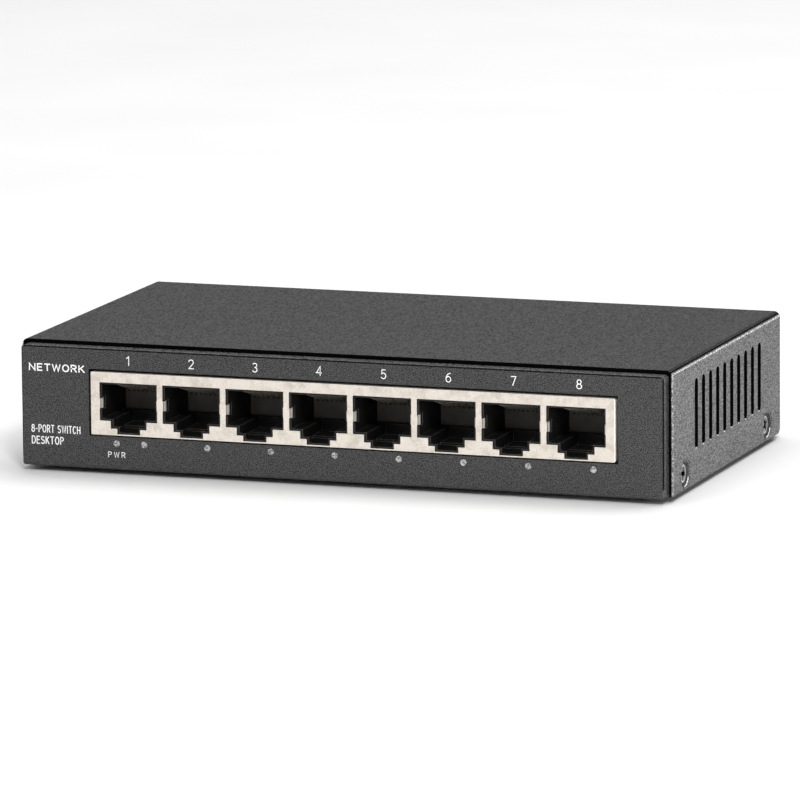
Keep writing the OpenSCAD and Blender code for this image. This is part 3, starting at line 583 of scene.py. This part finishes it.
def printed(name, words, material, x, z, height, pen=0.11, width=None, gap=0.2, rear=False):
    """Words printed round (x, z) on the front or the rear panel, as a thin mesh.

    pen and gap are parts of the height. A width squeezes the words into it."""
    total = sum(STROKES[c][0] for c in words) + gap * (len(words) - 1)
    squeeze = 1.0 if width is None else width / (total * height)
    mesh = {"vertices": [], "faces": []}
    at = -total / 2
    for letter in words:
        wide, strokes = STROKES[letter]
        for order, points in enumerate(strokes):
            placed = [((at + x) * squeeze * height, (y - 0.5) * height) for x, y in points]
            pen_stroke(mesh, placed, pen * height, INK * (1 + LAYER * order))
        at += wide + gap
    data = bpy.data.meshes.new(name)
    data.from_pydata(mesh["vertices"], [], mesh["faces"])
    turn = Matrix.Rotation(math.pi if rear else 0, 4, "Z") @ Matrix.Rotation(math.pi / 2, 4, "X")
    data.transform(Matrix.Translation((x, PANEL_REAR if rear else PANEL_FRONT, z)) @ turn)
    data.materials.append(material)
    piece = bpy.data.objects.new(name, data)
    bpy.context.scene.collection.objects.link(piece)
    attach(piece, CASE_BODY)


def middle_x(node):
    low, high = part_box(node)
    return (low.x + high.x) / 2


def print_panels():
    """Generic words and numbers. The port numbers are spaced a little wider than the ports."""
    ink = screen_print("white_ink")
    case_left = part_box("chassis")[0].x
    first_drift = -0.12 * MM
    drift_per_port = 0.11 * MM
    for port in PORTS:
        drift = first_drift + (port - 1) * drift_per_port
        printed(f"port_number_{port}", str(port), ink, x=middle_x(f"port_{port}_contacts") + drift,
                z=CASE_BOTTOM + 23.1 * MM, height=1.85 * MM, pen=0.1)
    printed("power_label", "PWR", ink, x=middle_x("power_led"), z=CASE_BOTTOM + 3.16 * MM,
            height=1.1 * MM, width=3.7 * MM, pen=0.13, gap=0.5)
    printed("maker_label", "NETWORK", ink, x=case_left + 8.0 * MM, z=CASE_BOTTOM + 20.9 * MM,
            height=1.35 * MM, width=12.2 * MM, pen=0.2, gap=0.3)
    printed("range_label", "8-PORT SWITCH", ink, x=case_left + 7.6 * MM, z=CASE_BOTTOM + 7.9 * MM,
            height=1.5 * MM, width=10.8 * MM, pen=0.13, gap=0.32)
    printed("type_label", "DESKTOP", ink, x=case_left + 5.75 * MM, z=CASE_BOTTOM + 5.45 * MM,
            height=1.5 * MM, width=7.0 * MM, pen=0.14, gap=0.32)
    printed("power_socket_label", "DC IN", ink, x=middle_x("power_socket_housing"),
            z=CASE_BOTTOM + 4.2 * MM, height=1.6 * MM, rear=True)


# ------------------------------------------------------------------ studio

def floor():
    mesh = bpy.data.meshes.new("floor")
    half = 6.0
    corners = [(-half, -half, 0), (half, -half, 0), (half, half, 0), (-half, half, 0)]
    mesh.from_pydata(corners, [], [(0, 1, 2, 3)])
    g = Graph("floor_white", Roughness=0.9, Specular_IOR_Level=0.2)
    g.set(Base_Color=g.blend(g.spread(g.noise(60), 0, 1), grey(0.62), grey(0.64)))
    g.clear_from_behind()
    mesh.materials.append(g.material)
    piece = bpy.data.objects.new("floor", mesh)
    bpy.context.scene.collection.objects.link(piece)


def area_light(name, watts, size, at, aim):
    light = bpy.data.lights.new(name, "AREA")
    light.shape = "RECTANGLE"
    light.size, light.size_y = size
    light.energy = watts
    lamp = bpy.data.objects.new(name, light)
    lamp.location = at
    lamp.rotation_euler = (Vector(aim) - Vector(at)).to_track_quat("-Z", "Y").to_euler()
    bpy.context.scene.collection.objects.link(lamp)
    return lamp


def world():
    """A soft white studio, brightest overhead and dimmest low down at the back."""
    made = bpy.data.worlds.new("studio")
    made.use_nodes = True
    tree = made.node_tree
    background = tree.nodes["Background"]
    place = tree.nodes.new("ShaderNodeTexCoord")
    split = tree.nodes.new("ShaderNodeSeparateXYZ")
    height = tree.nodes.new("ShaderNodeValToRGB")
    behind = tree.nodes.new("ShaderNodeMapRange")
    shade = tree.nodes.new("ShaderNodeMath")
    shade.operation = "MULTIPLY"
    background.inputs["Color"].default_value = grey(1.0)
    tree.links.new(place.outputs["Generated"], split.inputs[0])
    tree.links.new(split.outputs["Z"], height.inputs[0])
    tree.links.new(split.outputs["Y"], behind.inputs["Value"])
    tree.links.new(behind.outputs[0], shade.inputs[0])
    tree.links.new(height.outputs[0], shade.inputs[1])
    tree.links.new(shade.outputs[0], background.inputs["Strength"])
    horizon, overhead = (0.0, 0.20), (0.8, 0.8)    # height and brightness
    for element, (position, value) in zip(height.color_ramp.elements, (horizon, overhead)):
        element.position = position
        element.color = grey(value)
    for name, value in (("From Min", 0.2), ("From Max", 0.9), ("To Min", 1.0), ("To Max", 0.6)):
        behind.inputs[name].default_value = value
    bpy.context.scene.world = made


CAMERA_AZIMUTH = 19.25     # degrees to the right of the front
CAMERA_ELEVATION = 10.08   # degrees
CAMERA_ROLL = -0.49        # degrees
CAMERA_DISTANCE = 1.6626   # metres
CAMERA_LENS = 364.17       # focal length in millimetres, on a 36 mm sensor
TARGET_X = 13.47 * MM
TARGET_HEIGHT = 17.909 * MM    # over the bottom of the case


def camera():
    """The viewpoint: a long lens, to the right of the front and a little above."""
    azimuth, elevation = math.radians(CAMERA_AZIMUTH), math.radians(CAMERA_ELEVATION)
    back = Vector((math.sin(azimuth) * math.cos(elevation), -math.cos(azimuth) * math.cos(elevation),
                   math.sin(elevation)))
    level = Vector((math.cos(azimuth), math.sin(azimuth), 0))
    up = back.cross(level)
    roll = math.radians(CAMERA_ROLL)
    right = level * math.cos(roll) + up * math.sin(roll)
    target = Vector((TARGET_X, PANEL_FRONT, CASE_BOTTOM + TARGET_HEIGHT))
    lens = bpy.data.cameras.new("camera")
    lens.lens = CAMERA_LENS
    lens.sensor_width = 36
    lens.clip_end = 50
    made = bpy.data.objects.new("camera", lens)
    turn = Matrix((right, back.cross(right), back)).transposed().to_4x4()
    made.matrix_world = Matrix.Translation(target + back * CAMERA_DISTANCE) @ turn
    bpy.context.scene.collection.objects.link(made)
    bpy.context.scene.camera = made


def studio():
    floor()
    world()
    centre = (0, 0, 0)
    area_light("overhead_softbox", watts=22, size=(1.5, 1.0), at=(0.25, 0.55, 1.4), aim=centre)
    area_light("front_softbox", watts=8, size=(1.2, 0.8), at=(-1.1, -1.4, 0.9), aim=centre)
    area_light("front_key", watts=7, size=(0.15, 0.15), at=(0.42, -0.85, 0.7), aim=centre)
    area_light("low_rear_strip", watts=0.6, size=(0.5, 0.12), at=(0.45, 1.0, 0.08), aim=centre)
    right_front_corner = (71 * MM, -36 * MM, 22 * MM)
    side_fill = area_light("side_fill", watts=0.02, size=(0.05, 0.05), at=(0.21, -0.13, 0.03),
                           aim=right_front_corner)
    side_fill.data.spread = math.radians(70)
    bpy.context.scene.view_settings.view_transform = "Standard"
    bpy.context.scene.view_settings.look = "None"
    camera()


paint_nodes()
print_panels()
studio()
